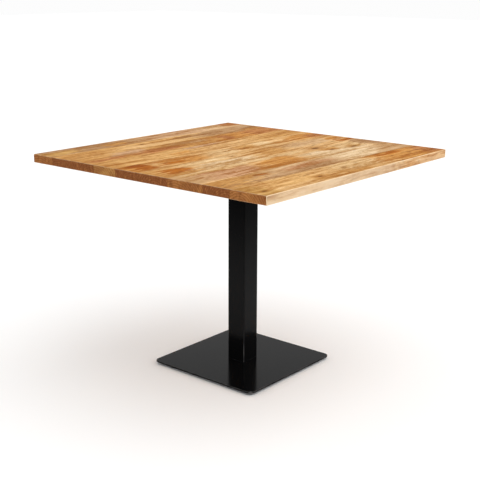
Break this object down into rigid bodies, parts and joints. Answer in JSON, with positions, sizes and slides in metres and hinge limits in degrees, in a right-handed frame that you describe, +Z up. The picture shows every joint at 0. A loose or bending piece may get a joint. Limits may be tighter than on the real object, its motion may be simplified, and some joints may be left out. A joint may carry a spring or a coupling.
{
  "type": "bistro table",
  "caption": "Square plank-top pedestal table: a hardwood top on a square steel column and a flat steel base plate with levelling glides.",
  "frame": {"origin": "on the floor, at the middle of the base", "axes": "+Z up, +X along the planks, +Y across the planks"},
  "size_m": [1, 1, 0.765],
  "materials": {
    "mango_wood": "satin lacquer over mixed golden, brown and pinkish planks",
    "black_powder_coat": "semi-gloss",
    "zinc_plated_steel": "bright zinc plate",
    "black_oxide_steel": "black oxide, lightly oiled",
    "grey_nylon": "matt moulded"
  },
  "bodies": {
    "table": {"top_plank_1": "mango_wood", "top_plank_2": "mango_wood", "top_plank_3": "mango_wood", "top_plank_4": "mango_wood", "top_plank_5": "mango_wood", "top_plank_6": "mango_wood", "top_plank_7": "mango_wood", "top_plank_8": "mango_wood", "top_plank_9": "mango_wood", "wood_screws": "zinc_plated_steel", "screw_washers": "zinc_plated_steel", "mounting_plate": "black_powder_coat", "head_bolts": "black_oxide_steel", "column_head_plug": "black_powder_coat", "column_tube": "black_powder_coat", "column_foot_plug": "black_powder_coat", "base_bolts": "black_oxide_steel", "base_plate": "black_powder_coat", "glide_bosses": "black_powder_coat"},
    "pad_1": {"glide_pad_1": "grey_nylon"},
    "stud_1": {"glide_stud_1": "zinc_plated_steel"},
    "pad_2": {"glide_pad_2": "grey_nylon"},
    "stud_2": {"glide_stud_2": "zinc_plated_steel"},
    "pad_3": {"glide_pad_3": "grey_nylon"},
    "stud_3": {"glide_stud_3": "zinc_plated_steel"},
    "pad_4": {"glide_pad_4": "grey_nylon"},
    "stud_4": {"glide_stud_4": "zinc_plated_steel"}
  },
  "joints": [
    {"name": "glide_travel_1", "type": "slide", "parent": "table", "child": "pad_1", "axis": [0, 0, -1], "range_m": [0, 0.003]},
    {"name": "glide_turn_1", "type": "hinge", "parent": "pad_1", "child": "stud_1", "pos_m": [-0.18, -0.18, 0.005], "axis": [0, 0, -1], "range_deg": [0, 864]},
    {"name": "glide_travel_2", "type": "slide", "parent": "table", "child": "pad_2", "axis": [0, 0, -1], "range_m": [0, 0.003]},
    {"name": "glide_turn_2", "type": "hinge", "parent": "pad_2", "child": "stud_2", "pos_m": [0.18, -0.18, 0.005], "axis": [0, 0, -1], "range_deg": [0, 864]},
    {"name": "glide_travel_3", "type": "slide", "parent": "table", "child": "pad_3", "axis": [0, 0, -1], "range_m": [0, 0.003]},
    {"name": "glide_turn_3", "type": "hinge", "parent": "pad_3", "child": "stud_3", "pos_m": [0.18, 0.18, 0.005], "axis": [0, 0, -1], "range_deg": [0, 864]},
    {"name": "glide_travel_4", "type": "slide", "parent": "table", "child": "pad_4", "axis": [0, 0, -1], "range_m": [0, 0.003]},
    {"name": "glide_turn_4", "type": "hinge", "parent": "pad_4", "child": "stud_4", "pos_m": [-0.18, 0.18, 0.005], "axis": [0, 0, -1], "range_deg": [0, 864]}
  ],
  "couplings": [
    {"joint": "glide_travel_1", "follows": "glide_turn_1", "m_per_rad": 0.00019894},
    {"joint": "glide_travel_2", "follows": "glide_turn_2", "m_per_rad": 0.00019894},
    {"joint": "glide_travel_3", "follows": "glide_turn_3", "m_per_rad": 0.00019894},
    {"joint": "glide_travel_4", "follows": "glide_turn_4", "m_per_rad": 0.00019894}
  ]
}
